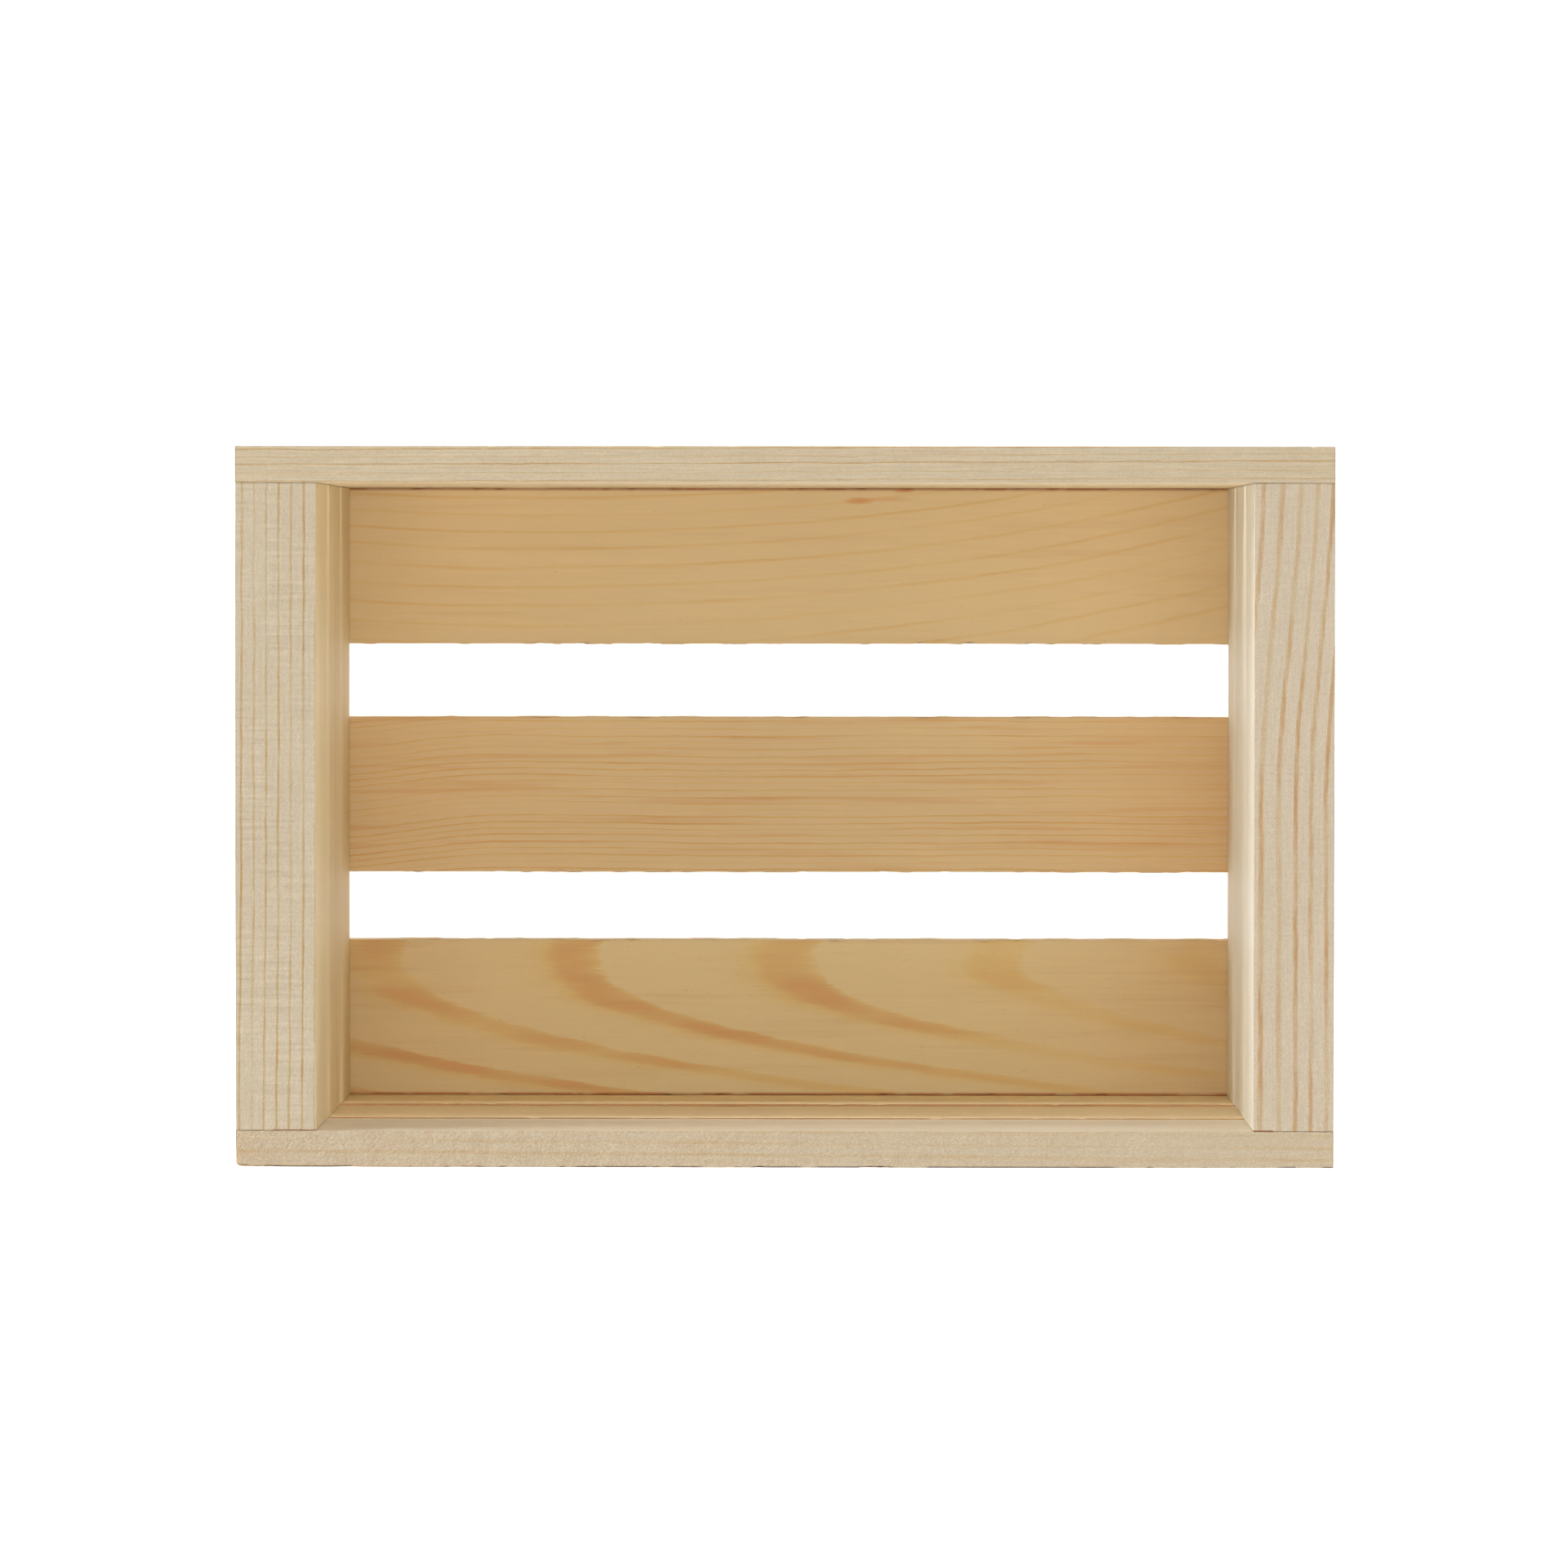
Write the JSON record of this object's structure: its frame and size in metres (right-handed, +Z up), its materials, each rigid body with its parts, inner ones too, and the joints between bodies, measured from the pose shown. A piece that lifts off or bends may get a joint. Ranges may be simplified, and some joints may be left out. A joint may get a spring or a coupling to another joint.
{
  "type": "wooden crate",
  "caption": "Small open-topped pine crate for apples, with solid end boards, spaced side slats and a slatted floor, nailed together.",
  "frame": {"origin": "middle of the footprint, at the level that the crate stands on", "axes": "+X along the slats, from the left end board to the right one; +Y from the front side to the rear side; +Z up, out of the open top"},
  "size_m": [0.3, 0.197, 0.15],
  "materials": {
    "end_board_pine": "rough sawn, unfinished",
    "side_slat_pine": "rough sawn, unfinished",
    "floor_slat_pine": "planed, unfinished",
    "nail_steel": "bright drawn wire"
  },
  "bodies": {
    "root": {"front_slat_lower": "side_slat_pine", "front_slat_middle": "side_slat_pine", "front_slat_upper": "side_slat_pine", "rear_slat_lower": "side_slat_pine", "rear_slat_middle": "side_slat_pine", "rear_slat_upper": "side_slat_pine", "floor_slat_front": "floor_slat_pine", "floor_slat_middle": "floor_slat_pine", "floor_slat_rear": "floor_slat_pine", "end_board_left": "end_board_pine", "end_board_right": "end_board_pine", "nail_front_slat_lower_left_a": "nail_steel", "nail_front_slat_lower_left_b": "nail_steel", "nail_front_slat_lower_right_a": "nail_steel", "nail_front_slat_lower_right_b": "nail_steel", "nail_front_slat_middle_left_a": "nail_steel", "nail_front_slat_middle_left_b": "nail_steel", "nail_front_slat_middle_right_a": "nail_steel", "nail_front_slat_middle_right_b": "nail_steel", "nail_front_slat_upper_left_a": "nail_steel", "nail_front_slat_upper_left_b": "nail_steel", "nail_front_slat_upper_right_a": "nail_steel", "nail_front_slat_upper_right_b": "nail_steel", "nail_rear_slat_lower_left_a": "nail_steel", "nail_rear_slat_lower_left_b": "nail_steel", "nail_rear_slat_lower_right_a": "nail_steel", "nail_rear_slat_lower_right_b": "nail_steel", "nail_rear_slat_middle_left_a": "nail_steel", "nail_rear_slat_middle_left_b": "nail_steel", "nail_rear_slat_middle_right_a": "nail_steel", "nail_rear_slat_middle_right_b": "nail_steel", "nail_rear_slat_upper_left_a": "nail_steel", "nail_rear_slat_upper_left_b": "nail_steel", "nail_rear_slat_upper_right_a": "nail_steel", "nail_rear_slat_upper_right_b": "nail_steel", "nail_floor_slat_front_left_a": "nail_steel", "nail_floor_slat_front_left_b": "nail_steel", "nail_floor_slat_front_right_a": "nail_steel", "nail_floor_slat_front_right_b": "nail_steel", "nail_floor_slat_middle_left_a": "nail_steel", "nail_floor_slat_middle_left_b": "nail_steel", "nail_floor_slat_middle_right_a": "nail_steel", "nail_floor_slat_middle_right_b": "nail_steel", "nail_floor_slat_rear_left_a": "nail_steel", "nail_floor_slat_rear_left_b": "nail_steel", "nail_floor_slat_rear_right_a": "nail_steel", "nail_floor_slat_rear_right_b": "nail_steel"}
  },
  "joints": []
}
